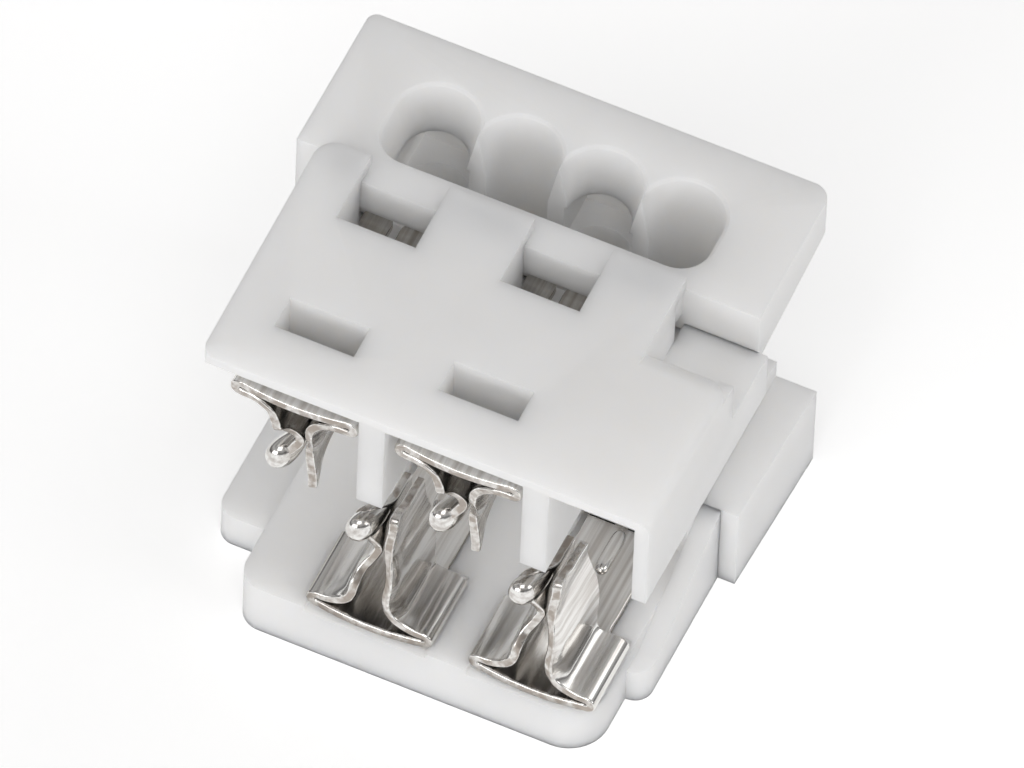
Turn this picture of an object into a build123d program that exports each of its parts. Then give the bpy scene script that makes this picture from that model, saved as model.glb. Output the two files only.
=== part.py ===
"""Four-way insulation-displacement connector plug for 1.27 mm ribbon cable.

A moulded housing holds four stamped contacts in two staggered rows. A moulded cover with a
scalloped cable slot sits on the housing, over the contacts' forked tips. The plug lies on its
back: X runs along the circuits, +Y points to the cable end and +Z to the windowed front wall.
The origin is on the back face, under the middle of the four circuits, half way along the plug.
"""
import os
from math import cos, pi

from build123d import *

# Circuits and overall lengths
pitch = 1.27
circuits = 4
cover_height = 2.50
housing_length = 4.08

# Cover
cover_depth = 6.50
cover_left_margin = 1.645
cover_right_margin = 1.745
cover_corner_left = 0.16
cover_corner_right = 0.28
lobe_radius = 0.68
wire_radius = 0.48
lobe_rise = 0.90
lead_in_depth = 0.90
slot_floor_height = 0.26
slot_corner = 0.52
slot_rim = 0.05
slab_top_thickness = 0.72
slab_bottom_thickness = 1.04
left_slab_thickness = 1.45
flange_thickness = 1.63
flange_right_margin = 1.672
flange_draft = 0.09
channel_shelf = 0.34
shelf_overhang = 0.71
channel_overhang = 1.03
lip_drop = 0.30
lip_thickness = 0.62
lip_inset = 0.78
lip_corner = 0.24
pocket_width = 1.06
pocket_roof_drop = 0.52
pocket_clearance = 0.05
pocket_depth = 0.55

# Front wall of the housing
wall_left_margin = 1.235
wall_right_margin = 1.895
wall_proud = 0.30
wall_thickness = 1.25
wall_draft = 0.16
wall_edge_thickness = 0.18
lead_in_length = 0.67
wall_edge_radius = 0.16
ear_radius = 0.33
wall_corner = 0.22
window_width = 1.23
window_depth = 1.17
window_offset = 0.13
low_window_height = 0.53
low_window_edge_gap = 0.86
notch_left_margin = 0.60
notch_depth = 1.22
notch_corner = 0.45
lip_gap = 0.05
end_block_thickness = 0.50
end_block_drop = 0.80
end_block_length = 1.30
end_lip_thickness = 0.22
end_lip_drop = 1.68

# Tray, bridge and ribs of the housing
floor_thickness = 1.00
seat_depth = 0.10
seat_clearance = 0.03
tongue_left_margin = 0.755
tongue_right_margin = 1.015
tongue_setback = 0.38
tongue_corner_left = 0.38
tongue_corner_right = 0.62
wing_left_margin = 1.625
wing_right_margin = 1.315
wing_thickness = 0.66
wing_length = 2.50
wing_corner = 0.28
ramp_length = 2.10
bridge_thickness = 0.50
rib_width = 0.40
rib_clearance = 0.88
rib_setback = 0.37

# Stamped contacts
sheet = 0.15
contact_setback = 0.55
contact_width = 1.84
hem_gap = 0.03
hem_length = 1.15
base_bow = 0.07
fin_length = 1.42
fin_root_spacing = 0.72
fin_root_rise = 0.22
fin_root_inset = 0.08
fin_pinch_gap = 0.07
fin_pinch_height = 1.45
fin_front_height = 0.85
fin_front_spacing = 0.48
fin_top_height = 1.90
fin_top_splay = 0.09
post_fin_extra = 0.40
bulb_flare = 0.36
funnel_length = 0.42
neck_width = 1.20
neck_taper_length = 0.17
fork_width = 1.00
fork_shoulder = 1.05
fork_shoulder_taper = 0.20
fork_point_length = 0.30
fork_slit = 0.20
fork_slit_length = 0.60
fork_tip_rise = 0.15
emboss_radius = 0.08
emboss_length = 0.75
emboss_clearance = 0.12

# Places worked out from the sizes above
overall_length = cover_height + housing_length
cable_end = overall_length / 2
cover_bottom = cable_end - cover_height
mating_end = -overall_length / 2
fin_shares = [0.0, 0.12, 0.22, 0.30, 0.40, 0.65, 1.0]
wire_xs = [(i - (circuits - 1) / 2) * pitch for i in range(circuits)]
front_xs = wire_xs[0::2]
back_xs = wire_xs[1::2]
first_x = wire_xs[0]
last_x = wire_xs[-1]
cover_left = first_x - cover_left_margin
cover_right = last_x + cover_right_margin
wall_left = first_x - wall_left_margin
wall_right = last_x + wall_right_margin
wall_front = cover_depth + wall_proud
wall_inner = wall_front - wall_thickness
seat_level = floor_thickness - seat_depth
bridge_bottom = cover_bottom - bridge_thickness
contact_end = mating_end + contact_setback
hem_height = 2 * sheet + hem_gap
neck_start = hem_length + neck_taper_length
fork_tip = cover_bottom + fork_tip_rise
fork_length = fork_tip - contact_end
rib_end = seat_level + fin_top_height + post_fin_extra + rib_clearance


def block(x_range, y_range, z_range, mode=Mode.ADD):
    """Add or cut a box between two limits on each axis."""
    low = (x_range[0], y_range[0], z_range[0])
    size = (x_range[1] - x_range[0], y_range[1] - y_range[0], z_range[1] - z_range[0])
    with Locations(low):
        Box(*size, align=(Align.MIN, Align.MIN, Align.MIN), mode=mode)


def smooth_step(value):
    """Go from 0 to 1 with level ends as value goes from 0 to 1."""
    value = min(max(value, 0.0), 1.0)
    return (1 - cos(pi * value)) / 2


# Cover: a slotted block with an open channel in each end
slot_floor = cover_bottom + slot_floor_height
lobe_y = slot_floor + lobe_rise
with BuildPart() as cover:
    with BuildSketch(Plane.XY):
        with Locations((cover_left, cover_bottom)):
            Rectangle(cover_right - cover_left, cover_height, align=(Align.MIN, Align.MIN))
    extrude(amount=cover_depth)
    top_corners = cover.edges().filter_by(Axis.Z).group_by(Axis.Y)[-1].sort_by(Axis.X)
    fillet(top_corners[0], radius=cover_corner_left)
    top_corners = cover.edges().filter_by(Axis.Z).group_by(Axis.X)[-1].sort_by(Axis.Y)
    fillet(top_corners[-1], radius=cover_corner_right)
    # The rear flange is a little shorter at the polarised end and keeps its corner square
    flange_right = last_x + flange_right_margin
    block((cover_right - cover_corner_right - slot_rim, flange_right),
          (cable_end - 2 * cover_corner_right, cable_end), (0, flange_thickness))
    with BuildSketch(Plane.XY):
        Polygon((flange_right - flange_draft, cover_bottom), (cover_right, cover_bottom),
                (cover_right, cable_end), (flange_right, cable_end), align=None)
    extrude(amount=flange_thickness, mode=Mode.SUBTRACT)
    # Cable slot: one round lobe for each wire over a flat floor, funnelled at both faces
    middle = cover_depth / 2
    for side in (-1, 1):
        face = middle + side * middle
        neck = face - side * lead_in_depth
        brim = face - side * slot_rim
        for x in wire_xs:
            with BuildSketch(Plane.XY.offset(neck)):
                with Locations((x, lobe_y)):
                    Circle(wire_radius)
            with BuildSketch(Plane.XY.offset(brim)):
                with Locations((x, lobe_y)):
                    Circle(lobe_radius - slot_rim)
            with BuildSketch(Plane.XY.offset(face)):
                with Locations((x, lobe_y)):
                    Circle(lobe_radius)
            loft(ruled=True, mode=Mode.SUBTRACT)
        for height, spread in ((neck, wire_radius), (brim, lobe_radius - slot_rim), (face, lobe_radius)):
            with BuildSketch(Plane.XY.offset(height)):
                with Locations((0, slot_floor + (lobe_radius - spread) / 2)):
                    Rectangle(2 * (last_x + spread), lobe_y - slot_floor - (lobe_radius - spread) / 2,
                              align=(Align.CENTER, Align.MIN))
                fillet(vertices().group_by(Axis.Y)[0], radius=slot_corner * spread / lobe_radius)
        loft(ruled=True, mode=Mode.SUBTRACT)
    with BuildSketch(Plane.XY.offset(lead_in_depth)):
        with Locations(*[(x, lobe_y) for x in wire_xs]):
            Circle(wire_radius)
        with BuildSketch(mode=Mode.ADD):
            with Locations((0, slot_floor + (lobe_radius - wire_radius) / 2)):
                Rectangle(2 * (last_x + wire_radius), lobe_y - slot_floor - (lobe_radius - wire_radius) / 2,
                          align=(Align.CENTER, Align.MIN))
            fillet(vertices().group_by(Axis.Y)[0], radius=slot_corner * wire_radius / lobe_radius)
    extrude(amount=cover_depth - 2 * lead_in_depth, mode=Mode.SUBTRACT)
    # End channels, open towards the housing and the cable
    with BuildSketch(Plane.YZ.offset(cover_right - channel_overhang)):
        Polygon((cover_bottom, flange_thickness + channel_shelf),
                (cable_end, flange_thickness + channel_shelf),
                (cable_end, cover_depth - slab_top_thickness),
                (cover_bottom, cover_depth - slab_bottom_thickness), align=None)
    extrude(amount=channel_overhang, mode=Mode.SUBTRACT)
    block((cover_right - shelf_overhang, cover_right), (cover_bottom, cable_end),
          (flange_thickness, flange_thickness + channel_shelf), Mode.SUBTRACT)
    block((cover_left, cover_left + channel_overhang), (cover_bottom, cable_end),
          (flange_thickness, cover_depth - left_slab_thickness), Mode.SUBTRACT)
    # Guide lip that runs down behind the front wall
    block((cover_left + lip_inset, last_x + notch_left_margin - lip_gap),
          (cover_bottom - lip_drop, cover_bottom), (cover_depth - lip_thickness, cover_depth))
    lip_corners = cover.edges().filter_by(Axis.Z).group_by(Axis.Y)[0]
    fillet(lip_corners, radius=lip_corner)
    # Pockets that take the forks through the slot's floor and into its roof
    front_pocket = (wall_inner - sheet - pocket_depth, wall_inner + pocket_clearance)
    back_pocket = (seat_level - pocket_clearance, seat_level + sheet + pocket_depth)
    for row_xs, pocket in ((front_xs, front_pocket), (back_xs, back_pocket)):
        for x in row_xs:
            block((x - pocket_width / 2, x + pocket_width / 2),
                  (cover_bottom, cable_end - pocket_roof_drop), pocket, Mode.SUBTRACT)

# Housing: windowed front wall, tray and the bridge between them
with BuildPart() as housing:
    # Front wall with its draft and the lead-in at the mating end
    with BuildSketch(Plane.YZ.offset(wall_left)):
        Polygon((cover_bottom, wall_front), (cover_bottom, wall_inner),
                (mating_end + lead_in_length, wall_inner),
                (mating_end, wall_front - wall_draft - wall_edge_thickness),
                (mating_end, wall_front - wall_draft), align=None)
    extrude(amount=wall_right - wall_left)
    right_edge = housing.edges().group_by(Axis.X)[-1].sort_by(Axis.Z)[-1]
    fillet(right_edge, radius=wall_edge_radius)
    uprights = housing.edges().filter_by(Axis.Z)
    ear = uprights.group_by(Axis.Y)[-1].sort_by(Axis.X)[0]
    fillet(ear, radius=ear_radius)
    low_corner = housing.edges().filter_by(Axis.Z).group_by(Axis.Y)[0].sort_by(Axis.X)[0]
    fillet(low_corner, radius=wall_corner)
    # Notch at the polarised end, down to the end block
    notch_left = last_x + notch_left_margin
    notch_floor = cover_bottom - notch_depth
    block((notch_left, wall_right), (notch_floor, cover_bottom), (wall_inner, wall_front), Mode.SUBTRACT)
    notch_edges = housing.edges().filter_by(Axis.Z).group_by(Axis.X)[-1].sort_by(Axis.Y)
    fillet(notch_edges[-1], radius=notch_corner)
    # Windows open to the cable end, and the low windows over the contacts' hems
    for x in front_xs:
        middle = x + window_offset
        sides = (middle - window_width / 2, middle + window_width / 2)
        block(sides, (cover_bottom - window_depth, cover_bottom), (wall_inner, wall_front), Mode.SUBTRACT)
        low_edge = mating_end + low_window_edge_gap
        block(sides, (low_edge, low_edge + low_window_height), (wall_inner, wall_front), Mode.SUBTRACT)
    # Space behind the wall's top edge for the cover's guide lip
    block((cover_left + lip_inset - lip_gap, notch_left), (cover_bottom - lip_drop - lip_gap, cover_bottom),
          (wall_inner, cover_depth + lip_gap), Mode.SUBTRACT)
    # End block and thin end lip at the polarised end
    block((notch_left, wall_right), (cover_bottom - end_block_length, cover_bottom),
          (cover_depth - end_block_drop - end_block_thickness, cover_depth - end_block_drop))
    lip_top = wall_front - wall_draft - wall_edge_radius
    with BuildSketch(Plane.YZ.offset(wall_right - end_lip_thickness)):
        Polygon((cover_bottom, cover_depth - end_block_drop), (notch_floor, cover_depth - end_block_drop),
                (notch_floor, lip_top), (mating_end, lip_top), (mating_end, cover_depth - end_lip_drop),
                (cover_bottom, cover_depth - end_lip_drop), align=None)
    extrude(amount=end_lip_thickness)
    # Bridge across the plug under the cover
    block((wall_left, last_x + tongue_right_margin), (bridge_bottom, cover_bottom),
          (0, wall_inner))
    # Tray: floor with its tongue, and a lower wing on each side
    block((first_x - tongue_left_margin, last_x + tongue_right_margin),
          (mating_end + tongue_setback, cover_bottom), (0, floor_thickness))
    tongue_corners = housing.edges().filter_by(Axis.Z).filter_by(
        lambda e: abs(e.center().Y - mating_end - tongue_setback) < 1e-3).sort_by(Axis.X)
    fillet(tongue_corners[0], radius=tongue_corner_left)
    tongue_corners = housing.edges().filter_by(Axis.Z).filter_by(
        lambda e: abs(e.center().Y - mating_end - tongue_setback) < 1e-3).sort_by(Axis.X)
    fillet(tongue_corners[-1], radius=tongue_corner_right)
    wing_left = first_x - wing_left_margin
    wing_right = last_x + wing_right_margin
    with BuildSketch(Plane.XY):
        with Locations((wing_left, cover_bottom - wing_length)):
            Rectangle(wing_right - wing_left, wing_length, align=(Align.MIN, Align.MIN))
        fillet(vertices().group_by(Axis.Y)[0], radius=wing_corner)
    extrude(amount=wing_thickness)
    # Ramp along the polarised side, flush with the cover's flange
    with BuildSketch(Plane.YZ.offset(last_x + tongue_right_margin)):
        Polygon((cover_bottom, 0), (cover_bottom, flange_thickness),
                (cover_bottom - ramp_length, wing_thickness), (cover_bottom - ramp_length, 0), align=None)
    extrude(amount=wing_right_margin - tongue_right_margin)
    # Ribs under the front wall, between the front contacts
    for x in back_xs:
        block((x - rib_width / 2, x + rib_width / 2), (mating_end + rib_setback, bridge_bottom),
              (rib_end, wall_inner))
        block((x - rib_width / 2, x + rib_width / 2), (mating_end + rib_setback, mating_end + lead_in_length),
              (wall_inner, wall_front - wall_draft - wall_edge_thickness))
    # Seats for the back contacts in the floor, and passages for every fork in the bridge
    hem_half = contact_width / 2 + seat_clearance
    neck_half = neck_width / 2 + seat_clearance
    for x in back_xs:
        block((x - hem_half, x + hem_half), (mating_end, contact_end + neck_start),
              (seat_level, floor_thickness), Mode.SUBTRACT)
        block((x - neck_half, x + neck_half), (contact_end, bridge_bottom),
              (seat_level, floor_thickness), Mode.SUBTRACT)
        block((x - neck_half, x + neck_half), (bridge_bottom, cover_bottom),
              (seat_level, seat_level + sheet + seat_clearance), Mode.SUBTRACT)
    for x in front_xs:
        block((x - neck_half, x + neck_half), (bridge_bottom, cover_bottom),
              (wall_inner - sheet - seat_clearance, wall_inner), Mode.SUBTRACT)


def fin_section(share, side):
    """Centre line of one fin at a share of its length from its front edge: (across, height) points.

    Both fins leave their hems, stand apart in the funnel and run side by side from the pinch on.
    The fin on the -X side ends in a rounded lobe that flares out just behind the funnel; the fin
    on the +X side ends in a taller post there.
    """
    s = share * fin_length
    opened = 1 - smooth_step(s / funnel_length)
    rise = smooth_step(s / funnel_length)
    peak = smooth_step(1 - abs(s - funnel_length) / (fin_length - funnel_length))
    closed = (fin_pinch_gap + sheet) / 2
    root = fin_root_spacing / 2
    level = hem_height - sheet / 2
    post = post_fin_extra * peak if side > 0 else 0.0
    flare = bulb_flare * smooth_step(1 - abs(s - funnel_length) / funnel_length) if side < 0 else 0.0
    top = fin_front_height + (fin_top_height + post - fin_front_height) * rise
    bend = fin_front_height + (fin_pinch_height - fin_front_height) * rise - (1 - rise) * sheet
    middle = closed + (fin_front_spacing / 2 - closed) * opened
    splay = fin_top_splay * rise
    return [(side * (root + sheet), level), (side * root, level),
            (side * (root - fin_root_inset * rise), level + fin_root_rise),
            (side * middle, bend), (side * (middle + splay + flare), top)]


def thicken(centre):
    """Outline of a sheet of even thickness round a centre line, with mitred bends."""
    near, far = [], []
    for i, here in enumerate(centre):
        normals = []
        for one, two in ((i - 1, i), (i, i + 1)):
            if one >= 0 and two < len(centre):
                run = Vector(*centre[two]) - Vector(*centre[one])
                normals.append(Vector(-run.Y, run.X).normalized())
        mean = (normals[0] + normals[-1]).normalized()
        reach = sheet / 2 / mean.dot(normals[0])
        near.append((here[0] + mean.X * reach, here[1] + mean.Y * reach))
        far.append((here[0] - mean.X * reach, here[1] - mean.Y * reach))
    return near + far[::-1]


def build_contact(x, seat_z, up):
    """One stamped contact: base strip with hemmed sides, two fins and a forked end.

    up is +1 when the fins rise from the floor and -1 when they hang from the front wall.
    """
    half = contact_width / 2
    fold = hem_height / 2
    shoulder = fork_length - fork_shoulder
    slit_end = fork_length - fork_slit_length
    prong = (fork_width + fork_slit) / 4

    def profile_plane(y):
        return Plane(origin=(x, y, seat_z), x_dir=(1, 0, 0), z_dir=(0, -up, 0))

    strip_plane = Plane(origin=(x, contact_end, seat_z), x_dir=(1, 0, 0), z_dir=(0, 0, 1))
    with BuildPart() as contact:
        # Base strip with its bowed front edge, neck and forked end
        with BuildSketch(strip_plane):
            with BuildLine():
                Polyline((-half + fold, 0), (-half + fold, hem_length), (-neck_width / 2, neck_start),
                         (-neck_width / 2, shoulder - fork_shoulder_taper), (-fork_width / 2, shoulder),
                         (-fork_width / 2, fork_length - fork_point_length), (-prong, fork_length),
                         (-fork_slit / 2, fork_length - fork_point_length), (-fork_slit / 2, slit_end))
                ThreePointArc((-fork_slit / 2, slit_end), (0, slit_end - fork_slit / 2),
                              (fork_slit / 2, slit_end))
                Polyline((fork_slit / 2, slit_end), (fork_slit / 2, fork_length - fork_point_length),
                         (prong, fork_length), (fork_width / 2, fork_length - fork_point_length),
                         (fork_width / 2, shoulder), (neck_width / 2, shoulder - fork_shoulder_taper),
                         (neck_width / 2, neck_start), (half - fold, hem_length), (half - fold, 0))
                ThreePointArc((half - fold, 0), (0, -base_bow), (-half + fold, 0))
            make_face()
        extrude(amount=up * sheet)
        # Hems: each side edge folded back over the base
        with BuildSketch(profile_plane(contact_end)):
            for side in (-1, 1):
                with BuildSketch(mode=Mode.ADD):
                    with Locations((side * (half - fold), fold)):
                        Circle(fold)
                        Circle(hem_gap / 2, mode=Mode.SUBTRACT)
                    with Locations((side * (half - 2 * fold), fold)):
                        Rectangle(2 * fold, 3 * fold, mode=Mode.SUBTRACT)
                flap = half - fold - fin_root_spacing / 2
                with Locations((side * (half - fold - flap / 2), hem_height - sheet / 2)):
                    Rectangle(flap, sheet)
        extrude(amount=-up * hem_length)
        # Fins: ruled lofts through thickened centre lines
        for side in (-1, 1):
            for share in fin_shares:
                with BuildSketch(profile_plane(contact_end + share * fin_length)):
                    with BuildLine():
                        Polyline(*thicken(fin_section(share, side)), close=True)
                    make_face()
            loft(ruled=True)
        # Embossed stiffening rib along the strip
        with BuildSketch(profile_plane(contact_end + slit_end - emboss_clearance)):
            with Locations((0, sheet)):
                Circle(emboss_radius)
        extrude(amount=up * emboss_length)
    return contact


os.makedirs("parts", exist_ok=True)
housing.part.label = "housing"
export_step(housing.part, "parts/housing.step")
cover.part.label = "cover"
export_step(cover.part, "parts/cover.step")
for number, x in enumerate(wire_xs, start=1):
    if x in front_xs:
        piece = build_contact(x, wall_inner, -1)
    else:
        piece = build_contact(x, seat_level, 1)
    piece.part.label = f"contact_{number}"
    export_step(piece.part, f"parts/contact_{number}.step")
    print(piece.part.label, piece.part.is_valid, len(piece.part.solids()), piece.part.bounding_box())
print("housing", housing.part.is_valid, len(housing.part.solids()), housing.part.bounding_box())
print("cover", cover.part.is_valid, len(cover.part.solids()), cover.part.bounding_box())
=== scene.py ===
# %% [markdown]
# # A white ribbon cable plug
# The part is a plug about 7 mm wide. Two white mouldings hold four bright stamped contacts.
# This lesson loads the measured model, softens the mouldings' edges, makes the four contacts
# as smooth folded sheet, gives everything its finish, and lights it like a catalogue picture.

import bmesh
import bpy
import numpy as np
from mathutils import Matrix, Vector


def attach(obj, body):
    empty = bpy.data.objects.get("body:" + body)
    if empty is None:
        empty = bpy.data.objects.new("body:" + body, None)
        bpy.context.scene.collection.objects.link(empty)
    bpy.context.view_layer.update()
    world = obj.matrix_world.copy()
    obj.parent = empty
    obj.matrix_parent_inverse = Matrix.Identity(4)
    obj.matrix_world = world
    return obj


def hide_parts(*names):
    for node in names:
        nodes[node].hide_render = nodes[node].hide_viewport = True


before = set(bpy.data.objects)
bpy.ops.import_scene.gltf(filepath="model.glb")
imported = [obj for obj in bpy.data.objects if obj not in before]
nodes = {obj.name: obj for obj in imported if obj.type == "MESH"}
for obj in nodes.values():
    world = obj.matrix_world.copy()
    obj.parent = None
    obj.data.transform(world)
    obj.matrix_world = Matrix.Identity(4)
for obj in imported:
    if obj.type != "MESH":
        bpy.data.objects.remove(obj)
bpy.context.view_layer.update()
MM = 0.001
print("pieces:", sorted(nodes))

# %% [markdown]
# ## The camera
# The picture looks down on the plug from its mating end, a little from the right, through a
# long lens. A long lens far away keeps the parallel edges of a small moulding parallel. The
# camera's own axes are written as two directions, and the third follows from them. Its
# distance follows from how many pixels a millimetre takes in the picture.

# %% Camera
TOWARDS = Vector((0.2278, -0.5436, 0.8077)).normalized()
RIGHT = Vector((0.9072, 0.4196, 0.0265)).normalized()
LENS_MM = 1000.0
SENSOR_MM = 36.0
PICTURE_WIDTH = 1024
PIXELS_PER_MM = 70.55
NEAREST, FARTHEST = 0.01, 10.0
target = Vector((0.076, 0.418, 3.25)) * MM
distance = PICTURE_WIDTH * LENS_MM / (SENSOR_MM * PIXELS_PER_MM) * MM
up = TOWARDS.cross(RIGHT).normalized()
camera_data = bpy.data.cameras.new("camera")
camera_data.lens = LENS_MM
camera_data.sensor_width = SENSOR_MM
camera_data.clip_start = NEAREST
camera_data.clip_end = FARTHEST
camera = bpy.data.objects.new("camera", camera_data)
bpy.context.scene.collection.objects.link(camera)
turn = Matrix((RIGHT, up, TOWARDS)).transposed().to_4x4()
camera.matrix_world = Matrix.Translation(target + TOWARDS * distance) @ turn
bpy.context.scene.camera = camera
bpy.context.scene.view_settings.view_transform = "Standard"
print("camera stands", round(distance / MM), "mm away")

# %% [markdown]
# ## Small helpers for shader nodes
# Every finish here is a short chain of nodes. One helper feeds a socket, with a plain value or
# with what another node gives out, and the others build on it. Each finish then reads as a list
# of what the surface is made of. Set by hand in the node editor, it would be the same chain.


# %% Feed sockets and add nodes
def feed(tree, socket, value):
    """Link a socket to another node's output, or give it a plain value."""
    if isinstance(value, bpy.types.NodeSocket):
        tree.links.new(value, socket)
    else:
        socket.default_value = value


def add_node(tree, kind, **inputs):
    """Add one shader node and feed its named inputs; underscores stand for spaces."""
    node = tree.nodes.new(kind)
    for name, value in inputs.items():
        feed(tree, node.inputs[name.replace("_", " ")], value)
    return node


def start_material(name):
    """Make a material and return it with its node tree and main shader."""
    material = bpy.data.materials.new(name)
    material.use_nodes = True
    tree = material.node_tree
    print("material", name)
    return material, tree, tree.nodes["Principled BSDF"]


# %% Helpers for the usual nodes
def arithmetic(tree, operation, first, second):
    """One step of arithmetic on two values."""
    node = tree.nodes.new("ShaderNodeMath")
    node.operation = operation
    feed(tree, node.inputs[0], first)
    feed(tree, node.inputs[1], second)
    return node.outputs["Value"]


def noise(tree, place, per_metre, detail):
    """Cloudy noise from 0 to 1 with about so many blobs per metre; detail adds finer ones."""
    node = add_node(tree, "ShaderNodeTexNoise", Vector=place, Scale=per_metre, Detail=detail)
    return node.outputs["Fac"]


def carry(tree, value, low, high, start=0.0, stop=1.0):
    """A number that goes from low to high as value goes from start to stop."""
    node = add_node(tree, "ShaderNodeMapRange", Value=value, From_Min=start, From_Max=stop,
                    To_Min=low, To_Max=high)
    return node.outputs["Result"]


def two_tone(tree, value, low, high, start, stop):
    """A colour that goes from low to high as value goes from start to stop."""
    ramp = add_node(tree, "ShaderNodeValToRGB", Fac=value)
    for element, place, colour in zip(ramp.color_ramp.elements, (start, stop), (low, high)):
        element.position = place
        element.color = (*colour, 1)
    return ramp.outputs["Color"]


# %% [markdown]
# ## White moulded plastic
# The mouldings are natural white nylon. Light enters it and comes out a little further on,
# so corners glow and hollows stay bright. A flat white paint would look chalky, so the shader
# gets real subsurface scattering. Slow clouds of noise give the resin its faint warmer, darker
# patches, and two finer ones in the bump give the eroded surface that the mould leaves.

# %% Plastic
SCATTER_DISTANCE = 0.7 * MM
SCATTER_COLOURS = (1.0, 0.97, 0.92)
CLOUDS_PER_METRE, POCKS_PER_METRE, GRAIN_PER_METRE = 520.0, 4200.0, 14000.0
CLOUD_START, CLOUD_STOP = 0.35, 0.65
GRAIN_DEPTH, GRAIN_STRENGTH = 0.003 * MM, 0.25
POCK_DEPTH, POCK_STRENGTH = 0.006 * MM, 0.30
PLASTIC_ROUGHNESS, PLASTIC_SHEEN = 0.46, 0.35


def moulded_plastic(name, low, high):
    """White translucent plastic, in clouds from a warmer low tone to a paler high one."""
    material, tree, shader = start_material(name)
    place = tree.nodes.new("ShaderNodeTexCoord").outputs["Object"]
    clouds = noise(tree, place, CLOUDS_PER_METRE, detail=3.0)
    grain = noise(tree, place, GRAIN_PER_METRE, detail=2.0)
    pocks = noise(tree, place, POCKS_PER_METRE, detail=1.0)
    colour = two_tone(tree, clouds, low, high, CLOUD_START, CLOUD_STOP)
    fine = add_node(tree, "ShaderNodeBump", Strength=GRAIN_STRENGTH, Distance=GRAIN_DEPTH,
                    Height=grain)
    broad = add_node(tree, "ShaderNodeBump", Strength=POCK_STRENGTH, Distance=POCK_DEPTH,
                     Height=pocks, Normal=fine.outputs["Normal"])
    feed(tree, shader.inputs["Base Color"], colour)
    feed(tree, shader.inputs["Normal"], broad.outputs["Normal"])
    shader.inputs["Roughness"].default_value = PLASTIC_ROUGHNESS
    shader.inputs["Specular IOR Level"].default_value = PLASTIC_SHEEN
    shader.inputs["Subsurface Weight"].default_value = 1.0
    shader.inputs["Subsurface Radius"].default_value = SCATTER_COLOURS
    shader.inputs["Subsurface Scale"].default_value = SCATTER_DISTANCE
    return material


housing_plastic = moulded_plastic("housing_plastic", (0.872, 0.867, 0.860), (0.896, 0.892, 0.887))
cover_plastic = moulded_plastic("cover_plastic", (0.868, 0.864, 0.858), (0.893, 0.890, 0.886))

# %% [markdown]
# ## Tin-plated strip
# The contacts are cut from rolled strip that is plated with bright tin. Rolling leaves fine
# lines along the strip, so they are noise that is stretched along Y. Stamping cuts through the
# plating, and the bare bronze shows on the cut edges, duller and browner, where the die hasn't
# smeared some tin over them. Each contact's mesh therefore carries a number called cut_edge,
# and the material mixes its two metals by it and by a fine noise for the smears.

# %% Metal
BARE_BRONZE = (0.40, 0.355, 0.315)
DULL_TIN = (0.55, 0.52, 0.49)
BRIGHT_TIN = (0.82, 0.81, 0.79)
LINES_PER_METRE_ACROSS, LINES_PER_METRE_ALONG = 11000.0, 300.0
LINE_START, LINE_STOP = 0.32, 0.60
SMEARS_PER_METRE, SMEAR_START, SMEAR_STOP, BARE_UNDER_SMEAR = 5200.0, 0.40, 0.58, 0.25
WAVES_PER_METRE, WAVE_DEPTH, WAVE_STRENGTH = 1100.0, 0.020 * MM, 0.35
LINE_DEPTH, LINE_STRENGTH = 0.004 * MM, 0.6
TIN_ROUGHNESS, BRONZE_ROUGHNESS = 0.17, 0.34


def plated_strip(name):
    """Bright plated sheet with rolling lines along Y and bare bronze on its cut edges."""
    material, tree, shader = start_material(name)
    place = tree.nodes.new("ShaderNodeTexCoord").outputs["Object"]
    scales = (LINES_PER_METRE_ACROSS, LINES_PER_METRE_ALONG, LINES_PER_METRE_ACROSS)
    stretched = add_node(tree, "ShaderNodeMapping", Vector=place, Scale=scales)
    lines = noise(tree, stretched.outputs["Vector"], 1.0, detail=2.0)
    waves = noise(tree, place, WAVES_PER_METRE, detail=1.0)
    smears = noise(tree, place, SMEARS_PER_METRE, detail=2.0)
    tin = two_tone(tree, lines, DULL_TIN, BRIGHT_TIN, LINE_START, LINE_STOP)
    attribute = tree.nodes.new("ShaderNodeAttribute")
    attribute.attribute_name = "cut_edge"
    cut = attribute.outputs["Fac"]
    left_bare = carry(tree, smears, 1.0, BARE_UNDER_SMEAR, SMEAR_START, SMEAR_STOP)
    bare = arithmetic(tree, "MULTIPLY", cut, left_bare)
    metals = tree.nodes.new("ShaderNodeMix")
    metals.data_type = "RGBA"
    feed(tree, metals.inputs["Factor"], bare)
    feed(tree, metals.inputs["A"], tin)
    feed(tree, metals.inputs["B"], (*BARE_BRONZE, 1))
    feed(tree, shader.inputs["Base Color"], metals.outputs["Result"])
    feed(tree, shader.inputs["Roughness"], carry(tree, bare, TIN_ROUGHNESS, BRONZE_ROUGHNESS))
    ridges = add_node(tree, "ShaderNodeBump", Distance=LINE_DEPTH, Height=lines,
                      Strength=carry(tree, cut, LINE_STRENGTH, 0.0))
    swell = add_node(tree, "ShaderNodeBump", Distance=WAVE_DEPTH, Height=waves,
                     Strength=WAVE_STRENGTH, Normal=ridges.outputs["Normal"])
    feed(tree, shader.inputs["Normal"], swell.outputs["Normal"])
    shader.inputs["Metallic"].default_value = 1.0
    return material


contact_metal = plated_strip("contact_metal")

# %% [markdown]
# ## A piece in place of a measured solid
# Every visible piece here stands in for one solid of the measured model. It rides on the
# plug's one body, has a slot that names its finish, and hides the solid that it replaces. Its
# mesh is already in its place, so the piece itself stays at the origin, unturned.


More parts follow.
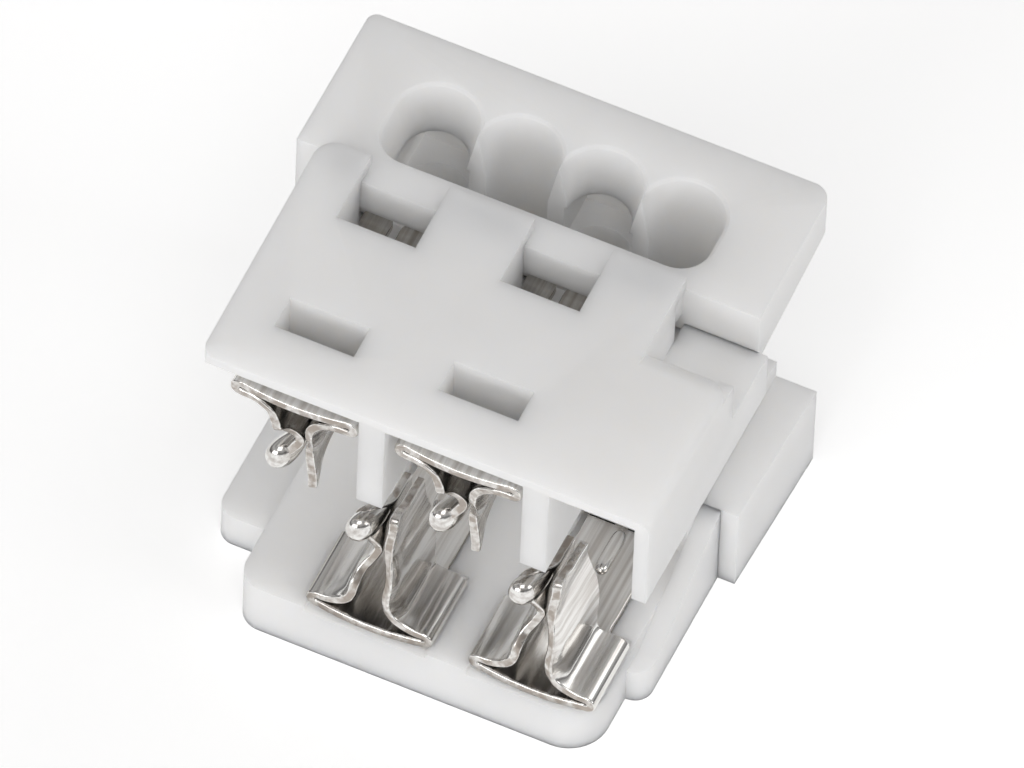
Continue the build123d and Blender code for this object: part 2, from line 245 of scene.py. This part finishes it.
# %% Stand-in pieces
def stand_in(piece_name, mesh, material, node_name):
    """Make a smooth piece from a mesh and let it replace a measured solid."""
    mesh.materials.clear()
    mesh.materials.append(material)
    mesh.polygons.foreach_set("use_smooth", np.ones(len(mesh.polygons), dtype=bool))
    piece = bpy.data.objects.new(piece_name, mesh)
    bpy.context.scene.collection.objects.link(piece)
    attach(piece, "root")
    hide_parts(node_name)
    print(piece_name, "has", len(mesh.polygons), "faces")
    return piece


# %% [markdown]
# ## The two mouldings
# The measured solids have knife-sharp edges, and a mould never gives those: every edge is
# rounded by a few hundredths of a millimetre and catches a thin line of light. The rounding
# could be cut into the solid, but a modifier keeps it adjustable. A copy of each solid has its
# loose triangles joined and its flat areas merged into whole faces, and then a Bevel modifier
# rounds every edge that turns by more than EDGE_ANGLE.

# %% Mouldings with softened edges
FLAT_ANGLE, EDGE_ANGLE = np.radians(0.6), np.radians(28.0)
MOULD_RADIUS, MOULD_STEPS = 0.045 * MM, 3
MOULDING_WELD = 1e-4 * MM


def soften(node_name, material):
    """Copy a measured solid, merge its flat areas and round its edges by MOULD_RADIUS."""
    mesh = nodes[node_name].data.copy()
    mesh.name = f"{node_name}_moulding"
    work = bmesh.new()
    work.from_mesh(mesh)
    bmesh.ops.remove_doubles(work, verts=work.verts, dist=MOULDING_WELD)
    bmesh.ops.dissolve_limit(work, angle_limit=FLAT_ANGLE, verts=work.verts, edges=work.edges)
    work.to_mesh(mesh)
    work.free()
    piece = stand_in(mesh.name, mesh, material, node_name)
    bevel = piece.modifiers.new("mould radius", "BEVEL")
    bevel.width = MOULD_RADIUS
    bevel.segments = MOULD_STEPS
    bevel.limit_method = "ANGLE"
    bevel.angle_limit = EDGE_ANGLE
    bevel.use_clamp_overlap = True
    bevel.harden_normals = True


soften("housing", housing_plastic)
soften("cover", cover_plastic)

# %% [markdown]
# ## A smooth patch through a net of points
# Each contact is folded sheet, whose bends run into each other, so it is made as smooth
# surfaces and not as blocks. A small net of points says where the middle of the sheet goes:
# rows lie one behind the other along the contact and columns lie side by side across the
# sheet. A cubic through the points fills in the rest, in both directions.


# %% Smooth patches
def spline_weights(count, places):
    """Weights of a cubic that passes through its points, for places from 0 to count - 1.

    Each place mixes the four nearest points. With t the way between the middle two, the
    weights are (-t + 2t^2 - t^3)/2, (2 - 5t^2 + 3t^3)/2, (t + 4t^2 - 3t^3)/2 and (t^3 - t^2)/2.
    The net has one extra point beyond each end, so point k has weight column k + 1.
    """
    cell = np.clip(np.floor(places).astype(int), 0, count - 2)
    t = places - cell
    cubic = np.stack([(-t + 2 * t**2 - t**3) / 2, (2 - 5 * t**2 + 3 * t**3) / 2,
                      (t + 4 * t**2 - 3 * t**3) / 2, (t**3 - t**2) / 2])
    weights = np.zeros((len(places), count + 2))
    for offset in range(4):
        weights[np.arange(len(places)), cell + offset] = cubic[offset]
    return weights


def extend(net, axis):
    """Add a point beyond both ends of a net: twice the end point less its neighbour."""
    first, second = np.take(net, [0], axis), np.take(net, [1], axis)
    last, before = np.take(net, [-1], axis), np.take(net, [-2], axis)
    return np.concatenate([2 * first - second, net, 2 * last - before], axis)


def smooth_patch(net, rows, columns):
    """The middle surface: row weights times the net times column weights."""
    along = spline_weights(net.shape[0], np.linspace(0, net.shape[0] - 1, rows))
    across = spline_weights(net.shape[1], np.linspace(0, net.shape[1] - 1, columns))
    return np.einsum("ai,bj,ijk->abk", along, across, extend(extend(net, 0), 1))


print("weights half way between two points:", spline_weights(2, np.array([0.5]))[0])

# %% [markdown]
# ## From a patch to sheet metal
# A real strip has the same thickness everywhere and a square cut all round, whose corners the
# die rounds a little. A Solidify modifier would leave those corners sharp, so the thickness is
# worked out here: each point goes up and down along the surface's own normal, and past the
# last row or column a few more rings of points turn the corner and close the cut.

# %% The rim of a cut
EDGE_ROUND, ROUND_STEPS = 0.028, 3


def rim(count, half):
    """How the points of one direction go on past both ends of a sheet of thickness 2 half.

    Four lists come back: which point is repeated, what share of the half thickness it keeps,
    how far it is pushed outwards and whether it lies on the cut. The corner of the cut is a
    quarter circle of radius EDGE_ROUND: with angle a, the half thickness is
    half - EDGE_ROUND (1 - cos a) and the push outwards is EDGE_ROUND sin a. A last point on the
    middle surface closes the flat of the cut.
    """
    angle = np.linspace(0, np.pi / 2, ROUND_STEPS + 1)[1:]
    keeps = np.append(1 - EDGE_ROUND / half * (1 - np.cos(angle)), 0.0)
    push = np.append(EDGE_ROUND * np.sin(angle), EDGE_ROUND)
    cut = np.append(np.zeros(ROUND_STEPS - 1), (1.0, 1.0))
    first, last = np.zeros(len(push), int), np.full(len(push), count - 1)
    return (np.concatenate([first, np.arange(count), last]),
            np.concatenate([keeps[::-1], np.ones(count), keeps]),
            np.concatenate([-push[::-1], np.zeros(count), push]),
            np.concatenate([cut[::-1], np.zeros(count), cut]))


print("a row of 2 points becomes", len(rim(2, 0.07)[0]), "points with its rims")


# %% Thick sheet
def unit(vectors):
    """Scale vectors to length one; the smallest divisor keeps an empty vector empty."""
    return vectors / np.maximum(np.linalg.norm(vectors, axis=-1, keepdims=True), 1e-12)


def grid_faces(index):
    """Four-sided faces between neighbouring rows and columns of a grid of point numbers."""
    corners = [index[:-1, :-1], index[1:, :-1], index[1:, 1:], index[:-1, 1:]]
    return np.stack(corners, -1).reshape(-1, 4)


def thick_sheet(middle, thickness):
    """Give a grid of points a thickness and square-cut rims; return points, faces and cuts.

    A point of the sheet is the middle surface, plus its unit slopes times the pushes outwards,
    plus or minus its normal times the smaller of the two shares of the half thickness.
    """
    slope_rows, slope_columns = np.gradient(middle, axis=0), np.gradient(middle, axis=1)
    normal = unit(np.cross(slope_rows, slope_columns))
    half = thickness / 2
    pick_row, keeps_row, push_row, cut_row = rim(middle.shape[0], half)
    pick_column, keeps_column, push_column, cut_column = rim(middle.shape[1], half)
    grid = np.ix_(pick_row, pick_column)
    centre = (middle[grid] + unit(slope_rows)[grid] * push_row[:, None, None]
              + unit(slope_columns)[grid] * push_column[None, :, None])
    keeps = np.minimum(keeps_row[:, None], keeps_column[None, :])
    lift = normal[grid] * (keeps * half)[:, :, None]
    points = np.concatenate([(centre + lift).reshape(-1, 3), (centre - lift).reshape(-1, 3)])
    cut = np.tile(np.maximum(cut_row[:, None], cut_column[None, :]).ravel(), 2)
    top = grid_faces(np.arange(keeps.size).reshape(keeps.shape))
    return points, np.concatenate([top, top[:, ::-1] + keeps.size]), cut


# %% [markdown]
# ## The fold and the flap
# A net is read as (across, along, height) in millimetres, from the contact's middle line, its
# mating edge and the face that it sits on. Each side of a contact is one strip of sheet: it
# runs out over the base, folds back on itself as a hem, comes in again as a flap, turns up at
# the root and ends as a fin. The fold is the same on both sides, so a function gives it.

# %% Fold shared by both sides
SHEET, FIN_SHEET = 0.15, 0.14
FOLD_RADIUS, FOLD_MIDDLE = 0.09, 0.835
FOLD_TURNS = np.radians([-90, -30, 30, 90])
STRIP_UNDER_FOLD = (0.62, 0.76)
ROW_STATIONS = [0.0, 0.2, 0.42, 0.62, 0.85, 1.04, 1.15]


def fold_row(along, side):
    """Points round the fold: the strip goes out, turns through half a circle and comes back.

    Round the bend, with angle a from straight down to straight up, a point lies at
    FOLD_MIDDLE + FOLD_RADIUS cos a across and SHEET/2 + FOLD_RADIUS (1 + sin a) high.
    """
    out = FOLD_MIDDLE + FOLD_RADIUS * np.cos(FOLD_TURNS)
    height = SHEET / 2 + FOLD_RADIUS + FOLD_RADIUS * np.sin(FOLD_TURNS)
    start = [(side * reach, along, SHEET / 2) for reach in STRIP_UNDER_FOLD]
    return start + [(side * reach, along, rise) for reach, rise in zip(out, height)]


print("points round the fold:", len(fold_row(0.0, 1)))

# %% [markdown]
# ## The two fins
# A header pin goes in between the fins, and they spring apart and hold it. They differ: the
# left one curls outwards at its mating end into a low lobe, and the right one stands up there
# as a taller post. Bent strip like this follows no simple formula, so the nets below are
# listed point by point. Each row belongs to one of ROW_STATIONS and takes three lines:
# the flap and the root, the fin's lower half and its upper half.

# %% Lobed fin
LOBED_FIN = [
    [(-0.68, 0.00, 0.27), (-0.50, 0.00, 0.34), (-0.36, 0.00, 0.46), (-0.29, 0.00, 0.64),
     (-0.26, 0.03, 0.84), (-0.22, 0.20, 1.02), (-0.10, 0.33, 1.24), (-0.05, 0.36, 1.42),
     (-0.13, 0.32, 1.58), (-0.24, 0.28, 1.72), (-0.33, 0.26, 1.84), (-0.38, 0.28, 1.94)],
    [(-0.68, 0.20, 0.26), (-0.50, 0.20, 0.30), (-0.38, 0.20, 0.40), (-0.33, 0.20, 0.62),
     (-0.30, 0.20, 0.82), (-0.24, 0.30, 1.02), (-0.11, 0.42, 1.24), (-0.06, 0.44, 1.45),
     (-0.14, 0.42, 1.63), (-0.25, 0.40, 1.78), (-0.33, 0.40, 1.91), (-0.37, 0.40, 2.02)],
    [(-0.68, 0.42, 0.26), (-0.50, 0.42, 0.29), (-0.39, 0.42, 0.40), (-0.34, 0.42, 0.62),
     (-0.31, 0.42, 0.83), (-0.23, 0.46, 1.04), (-0.11, 0.52, 1.26), (-0.08, 0.55, 1.47),
     (-0.12, 0.55, 1.66), (-0.19, 0.55, 1.82), (-0.24, 0.55, 1.94), (-0.26, 0.56, 2.04)],
    [(-0.68, 0.62, 0.26), (-0.50, 0.62, 0.29), (-0.39, 0.62, 0.40), (-0.35, 0.62, 0.62),
     (-0.31, 0.62, 0.84), (-0.23, 0.63, 1.05), (-0.13, 0.66, 1.27), (-0.10, 0.68, 1.46),
     (-0.11, 0.70, 1.62), (-0.14, 0.72, 1.76), (-0.16, 0.73, 1.87), (-0.17, 0.74, 1.94)],
    [(-0.68, 0.85, 0.26), (-0.50, 0.85, 0.29), (-0.39, 0.85, 0.40), (-0.35, 0.85, 0.62),
     (-0.32, 0.85, 0.84), (-0.24, 0.86, 1.05), (-0.14, 0.87, 1.26), (-0.11, 0.88, 1.42),
     (-0.105, 0.90, 1.56), (-0.105, 0.91, 1.70), (-0.105, 0.92, 1.81), (-0.105, 0.92, 1.89)],
    [(-0.68, 1.04, 0.26), (-0.50, 1.04, 0.29), (-0.39, 1.05, 0.39), (-0.35, 1.07, 0.62),
     (-0.32, 1.10, 0.84), (-0.25, 1.12, 1.05), (-0.15, 1.14, 1.26), (-0.115, 1.15, 1.41),
     (-0.11, 1.15, 1.54), (-0.105, 1.15, 1.67), (-0.105, 1.15, 1.78), (-0.105, 1.15, 1.86)],
    [(-0.68, 1.15, 0.26), (-0.52, 1.15, 0.28), (-0.42, 1.18, 0.37), (-0.37, 1.25, 0.60),
     (-0.33, 1.32, 0.82), (-0.27, 1.37, 1.03), (-0.18, 1.40, 1.24), (-0.13, 1.42, 1.39),
     (-0.115, 1.42, 1.52), (-0.11, 1.42, 1.64), (-0.105, 1.42, 1.74), (-0.105, 1.42, 1.82)],
]
print("lobed fin rises to", max(point[2] for row in LOBED_FIN for point in row), "mm")

# %% Post fin
POST_FIN = [
    [(0.68, 0.00, 0.26), (0.50, 0.00, 0.31), (0.36, 0.00, 0.39), (0.26, 0.00, 0.54),
     (0.23, 0.02, 0.76), (0.23, 0.10, 0.98), (0.19, 0.20, 1.20), (0.14, 0.28, 1.41),
     (0.135, 0.30, 1.62), (0.16, 0.30, 1.84), (0.19, 0.29, 2.06), (0.20, 0.28, 2.24)],
    [(0.68, 0.20, 0.25), (0.50, 0.20, 0.29), (0.40, 0.20, 0.37), (0.33, 0.20, 0.55),
     (0.30, 0.20, 0.78), (0.28, 0.24, 1.00), (0.22, 0.30, 1.22), (0.145, 0.36, 1.44),
     (0.13, 0.38, 1.66), (0.15, 0.38, 1.88), (0.17, 0.36, 2.09), (0.185, 0.35, 2.26)],
    [(0.68, 0.42, 0.25), (0.50, 0.42, 0.29), (0.40, 0.42, 0.38), (0.35, 0.42, 0.57),
     (0.32, 0.42, 0.80), (0.29, 0.44, 1.01), (0.22, 0.46, 1.22), (0.14, 0.50, 1.44),
     (0.12, 0.50, 1.66), (0.13, 0.50, 1.86), (0.145, 0.49, 2.03), (0.155, 0.48, 2.17)],
    [(0.68, 0.62, 0.25), (0.50, 0.62, 0.29), (0.40, 0.62, 0.38), (0.36, 0.62, 0.58),
     (0.33, 0.62, 0.80), (0.30, 0.63, 1.01), (0.23, 0.64, 1.22), (0.145, 0.65, 1.42),
     (0.115, 0.65, 1.60), (0.11, 0.65, 1.78), (0.115, 0.65, 1.92), (0.12, 0.65, 2.04)],
    [(0.68, 0.85, 0.25), (0.50, 0.85, 0.29), (0.40, 0.85, 0.38), (0.36, 0.85, 0.58),
     (0.34, 0.85, 0.80), (0.31, 0.86, 1.01), (0.25, 0.86, 1.21), (0.17, 0.87, 1.40),
     (0.12, 0.88, 1.56), (0.105, 0.88, 1.70), (0.105, 0.88, 1.82), (0.11, 0.88, 1.92)],
    [(0.68, 1.04, 0.25), (0.50, 1.04, 0.29), (0.40, 1.05, 0.38), (0.37, 1.07, 0.58),
     (0.35, 1.10, 0.79), (0.32, 1.12, 1.00), (0.27, 1.13, 1.20), (0.19, 1.14, 1.38),
     (0.13, 1.15, 1.54), (0.11, 1.15, 1.68), (0.105, 1.15, 1.79), (0.105, 1.15, 1.89)],
    [(0.68, 1.15, 0.25), (0.52, 1.15, 0.28), (0.42, 1.17, 0.37), (0.38, 1.22, 0.56),
     (0.37, 1.28, 0.77), (0.34, 1.34, 0.98), (0.29, 1.37, 1.18), (0.21, 1.39, 1.36),
     (0.15, 1.40, 1.51), (0.115, 1.40, 1.64), (0.105, 1.40, 1.75), (0.105, 1.40, 1.85)],
]
print("post fin rises to", max(point[2] for row in POST_FIN for point in row), "mm")


# %% Nets of the two sides
def side_net(fin, side):
    """Join the fold's points to the fin's, row by row."""
    return np.array([fold_row(along, side) + row for along, row in zip(ROW_STATIONS, fin)], float)


lobed_side, post_side = side_net(LOBED_FIN, -1), side_net(POST_FIN, 1)
print("net of one side:", lobed_side.shape[0], "rows of", lobed_side.shape[1], "points")

# %% [markdown]
# ## The base strip and its fork
# Under the fins lies a flat strip with a bowed mating edge. It narrows to a neck behind the
# fold and ends in two prongs that cut into the wire's skin. Strip and prongs are patches too,
# so that they get the same cut edges as the fins, and their nets follow from a list of half
# widths along the length.

# %% Sizes of the strip
CONTACT_LENGTH, SLIT_LENGTH, PRONG_OVERLAP = 3.68, 0.60, 0.05
BASE_HALF, SHOULDER_HALF, NECK_HALF, FORK_HALF, SLIT_HALF = 0.80, 0.74, 0.60, 0.50, 0.10
BASE_BOW = 0.07
BASE_STATIONS = [(0.0, BASE_HALF), (0.3, BASE_HALF), (0.7, BASE_HALF), (1.10, BASE_HALF),
                 (1.20, SHOULDER_HALF), (1.32, NECK_HALF), (1.6, NECK_HALF), (2.0, NECK_HALF),
                 (2.36, NECK_HALF), (2.60, FORK_HALF), (CONTACT_LENGTH - SLIT_LENGTH, FORK_HALF)]
PRONG_TAPER = [(0, 1), (0.3, 1), (0.6, 1), (0.8, 0.65), (1, 0.25)]
BASE_POINTS_ACROSS, PRONG_POINTS_ACROSS = 9, 4
print("the strip tapers over", len(BASE_STATIONS), "stations, a prong over", len(PRONG_TAPER))


# %% Nets of the strip and its prongs
def flat_net(across, along):
    """A net that lies flat in the base: points from two arrays, half a sheet high."""
    return np.stack([across, along, np.full(across.shape, SHEET / 2)], -1)


def base_net():
    """Rows across the strip at the half widths of BASE_STATIONS.

    With share from -1 to 1 across the strip, a point lies at half times share, and the first
    row bows forwards by BASE_BOW (1 - share^2).
    """
    share = np.linspace(-1, 1, BASE_POINTS_ACROSS)
    along, half = np.array(BASE_STATIONS).T[:, :, None]
    return flat_net(half * share, along - BASE_BOW * (1 - share**2) * (along == 0))


def prong_net(side):
    """Rows along one prong: it keeps its width and then comes to a blunt point.

    With share from -1 to 1 across the prong, a point lies at its middle plus its half width
    times the width left by PRONG_TAPER times share.
    """
    share = np.linspace(-1, 1, PRONG_POINTS_ACROSS)
    way, width = np.array(PRONG_TAPER, float).T[:, :, None]
    middle, half = side * (FORK_HALF + SLIT_HALF) / 2, (FORK_HALF - SLIT_HALF) / 2
    length = SLIT_LENGTH + PRONG_OVERLAP
    across = middle + half * width * share
    return flat_net(across, CONTACT_LENGTH - length + way * length + np.zeros(across.shape))


print("base net:", base_net().shape, "prong net:", prong_net(1).shape)

# %% [markdown]
# ## The bead and the nose
# A raised bead is pressed into the neck to stiffen it, and the lobe of the left fin ends in a
# rounded nose, which guides the pin. Both are round in section, so each is a ring of points
# that is carried along a straight middle line and scaled on its way, down to nothing at both
# ends, which closes it.

# %% Rings carried along a line
BEAD_START, BEAD_LENGTH, BEAD_RADIUS, BEAD_SHIFT = 2.16, 0.80, 0.11, 0.05
NOSE_TIP, NOSE_TAIL = np.array((-0.37, 0.12, 1.83)), np.array((-0.10, 1.05, 1.79))
NOSE_HALF_WIDTH, NOSE_HALF_HEIGHT = 0.20, 0.26
BEAD_STEPS, BEAD_STEPS_ROUND = 40, 24
NOSE_STEPS, NOSE_STEPS_ROUND = 44, 32


def carried_ring(start, end, way, scale, half_width, half_height, steps_round):
    """A closed skin: an ellipse across the contact, carried from start to end.

    At each way from 0 to 1 the middle is start + way (end - start), and the ring round it is
    scale times (half_width cos a, 0, half_height sin a), with angle a from 0 to a full turn.
    """
    turn = np.linspace(0, 2 * np.pi, steps_round, endpoint=False)
    ring = np.stack([half_width * np.cos(turn), 0 * turn, half_height * np.sin(turn)], -1)
    middle = start + way[:, None] * (end - start)
    points = (middle[:, None] + scale[:, None, None] * ring).reshape(-1, 3)
    index = np.arange(len(points)).reshape(len(way), steps_round)
    closed = np.concatenate([index, index[:, :1]], 1)
    return points, grid_faces(closed), np.zeros(len(points))


def bead():
    """A bead whose scale is sqrt(1 - x^6), with x from -1 to 1: even, and round at its ends."""
    way = np.linspace(0, 1, BEAD_STEPS)
    scale = np.sqrt((1 - (2 * way - 1)**6).clip(0))
    start = np.array((BEAD_SHIFT, BEAD_START, SHEET))
    end = start + (0, BEAD_LENGTH, 0)
    return carried_ring(start, end, way, scale, BEAD_RADIUS, BEAD_RADIUS, BEAD_STEPS_ROUND)


def nose():
    """A drop whose scale is sin(pi sqrt(way)) to the power 0.8: widest a quarter of the way.

    The places are even steps to the power 1.5, so that they crowd towards the round tip.
    """
    way = np.linspace(0, 1, NOSE_STEPS) ** 1.5
    scale = np.sin(np.pi * np.sqrt(way)).clip(0) ** 0.8
    return carried_ring(NOSE_TIP, NOSE_TAIL, way, scale, NOSE_HALF_WIDTH, NOSE_HALF_HEIGHT,
                        NOSE_STEPS_ROUND)


print("bead and nose have", len(bead()[0]), "and", len(nose()[0]), "points")

# %% [markdown]
# ## Four contacts
# The parts of one contact are worked out once and stacked into one mesh. The two rows face
# each other, so the front row's contacts hang from the front wall: their heights count
# downwards, which turns the faces inside out, and the normals are worked out again afterwards.
# Each contact stands where the measured one does, so its place is read from that solid's box.

# %% All parts of one contact
SIDE_GRID, BASE_GRID, PRONG_GRID = (72, 130), (90, 30), (20, 10)


def contact_parts():
    """All points, faces and cuts of one contact in its own (across, along, height) millimetres."""
    parts = [thick_sheet(smooth_patch(lobed_side, *SIDE_GRID), FIN_SHEET),
             thick_sheet(smooth_patch(post_side, *SIDE_GRID), FIN_SHEET),
             thick_sheet(smooth_patch(base_net(), *BASE_GRID), SHEET),
             thick_sheet(smooth_patch(prong_net(-1), *PRONG_GRID), SHEET),
             thick_sheet(smooth_patch(prong_net(1), *PRONG_GRID), SHEET),
             bead(), nose()]
    starts = np.cumsum([0] + [len(points) for points, _, _ in parts[:-1]])
    points = np.concatenate([points for points, _, _ in parts])
    faces = np.concatenate([faces + start for (_, faces, _), start in zip(parts, starts)])
    return points, faces, np.concatenate([cut for _, _, cut in parts])


local_points, contact_faces, cut_edges = contact_parts()
print("one contact has", len(local_points), "points before its poles are merged")

# %% Place the contacts
CONTACT_COUNT = 4
CONTACT_WELD = 2e-4 * MM


def measured_box(node_name):
    """The lowest and highest corner of a measured solid in millimetres."""
    vertices = nodes[node_name].data.vertices
    places = np.empty(3 * len(vertices))
    vertices.foreach_get("co", places)
    places = places.reshape(-1, 3) / MM
    return places.min(0), places.max(0)


def place_contact(number):
    """Make one contact where the measured one stands; the odd ones hang from the front wall.

    A point lies at the box's middle plus across, at the box's far end less the contact's
    length plus along, and at the seat plus the height, or less it where the contact hangs.
    """
    low, high = measured_box(f"contact_{number}")
    hangs = number % 2 == 1
    across, along, height = local_points.T
    x = (low[0] + high[0]) / 2 + across
    y = high[1] - CONTACT_LENGTH + along
    z = high[2] - height if hangs else low[2] + height
    name = f"contact_strip_{number}"
    mesh = bpy.data.meshes.new(name)
    mesh.from_pydata((np.stack([x, y, z], -1) * MM).tolist(), [], contact_faces.tolist())
    mesh.attributes.new("cut_edge", "FLOAT", "POINT").data.foreach_set("value", cut_edges)
    work = bmesh.new()
    work.from_mesh(mesh)
    bmesh.ops.remove_doubles(work, verts=work.verts, dist=CONTACT_WELD)
    bmesh.ops.recalc_face_normals(work, faces=work.faces)
    work.to_mesh(mesh)
    work.free()
    stand_in(name, mesh, contact_metal, f"contact_{number}")


for number in range(1, CONTACT_COUNT + 1):
    place_contact(number)

# %% [markdown]
# ## The floor
# The picture has a pure white ground with only a breath of shadow. More light would bleach the
# plug as well, so the floor is white and adds a little glow that only the camera, mirror-like
# and see-through rays meet. It then reads as paper white and keeps the shadow.

# %% Floor
FLOOR_GLOW, FLOOR_HALF, FLOOR_GREY = 0.34, 2.0, 0.92
FLOOR_ROUGHNESS, FLOOR_SHEEN = 0.9, 0.1
corners = [(-FLOOR_HALF, -FLOOR_HALF, 0), (FLOOR_HALF, -FLOOR_HALF, 0),
           (FLOOR_HALF, FLOOR_HALF, 0), (-FLOOR_HALF, FLOOR_HALF, 0)]
floor_mesh = bpy.data.meshes.new("floor")
floor_mesh.from_pydata(corners, [], [(0, 1, 2, 3)])
floor = bpy.data.objects.new("floor", floor_mesh)
bpy.context.scene.collection.objects.link(floor)
floor_white, tree, shader = start_material("floor_white")
ray = tree.nodes.new("ShaderNodeLightPath").outputs
seen = arithmetic(tree, "MAXIMUM", ray["Is Camera Ray"], ray["Is Glossy Ray"])
seen = arithmetic(tree, "MAXIMUM", seen, ray["Is Transmission Ray"])
glow = arithmetic(tree, "MULTIPLY", seen, FLOOR_GLOW)
feed(tree, shader.inputs["Emission Strength"], glow)
shader.inputs["Emission Color"].default_value = (1, 1, 1, 1)
shader.inputs["Base Color"].default_value = (FLOOR_GREY, FLOOR_GREY, FLOOR_GREY, 1)
shader.inputs["Roughness"].default_value = FLOOR_ROUGHNESS
shader.inputs["Specular IOR Level"].default_value = FLOOR_SHEEN
floor_mesh.materials.append(floor_white)
print("floor is", 2 * FLOOR_HALF, "m wide")

# %% [markdown]
# ## The world
# Bright metal shows what stands round it, and in an even white room it would look like grey
# plastic. The world is therefore a pale tent with darker bands, one low over the horizon and a
# weaker one high up. They depend only on the direction's height, from -1 straight down to 1
# straight up, which a Map Range node brings to 0 to 1 for the colour ramp.

# %% World
WORLD_STRENGTH = 0.48
SKY_TINT = (1.0, 0.99, 0.985)
SKY_BANDS = ((0.0, 0.90), (0.46, 0.85), (0.53, 0.35), (0.60, 0.32),
             (0.68, 0.80), (0.80, 1.0), (0.88, 0.60), (1.0, 0.90))
world = bpy.data.worlds.new("studio")
bpy.context.scene.world = world
world.use_nodes = True
sky = world.node_tree
direction = sky.nodes.new("ShaderNodeTexCoord").outputs["Generated"]
split = add_node(sky, "ShaderNodeSeparateXYZ", Vector=direction)
ramp = add_node(sky, "ShaderNodeValToRGB", Fac=carry(sky, split.outputs["Z"], 0.0, 1.0, start=-1.0))
stops = ramp.color_ramp.elements
for place, _ in SKY_BANDS[1:-1]:
    stops.new(place)
for stop, (place, grey) in zip(stops, SKY_BANDS):
    stop.position = place
    stop.color = (*(grey * share for share in SKY_TINT), 1)
background = sky.nodes["Background"]
feed(sky, background.inputs["Color"], ramp.outputs["Color"])
background.inputs["Strength"].default_value = WORLD_STRENGTH
print("world has", len(stops), "stops")

# %% [markdown]
# ## The lamps
# Four soft boxes light the plug. A large one stands where the camera looks from, so that no
# hollow is black. The strongest lies low on the mating side and brightens the tray and the open
# ends of the contacts. A smaller one gives the notched side its tone, and a dim one behind keeps
# the cable end from going grey. Each is a rectangle that faces the plug.


# %% Lamps
def soft_box(name, place, size, power):
    """A rectangular lamp at `place` that faces the plug; sizes in metres, power in watts."""
    data = bpy.data.lights.new(name, "AREA")
    data.shape = "RECTANGLE"
    data.size, data.size_y = size
    data.energy = power
    lamp = bpy.data.objects.new(name, data)
    lamp.location = place
    lamp.rotation_euler = (-Vector(place)).to_track_quat("-Z", "Y").to_euler()
    bpy.context.scene.collection.objects.link(lamp)
    print(name, "lamp stands", round(Vector(place).length, 2), "m away with", power, "W")


soft_box("front", TOWARDS * 0.80, (0.42, 0.42), 1.45)
soft_box("mating side", (-0.12, -0.62, 0.18), (0.45, 0.25), 1.50)
soft_box("notched side", (0.60, -0.05, 0.28), (0.30, 0.25), 0.58)
soft_box("behind", (0.26, 0.38, 0.52), (0.30, 0.30), 0.40)
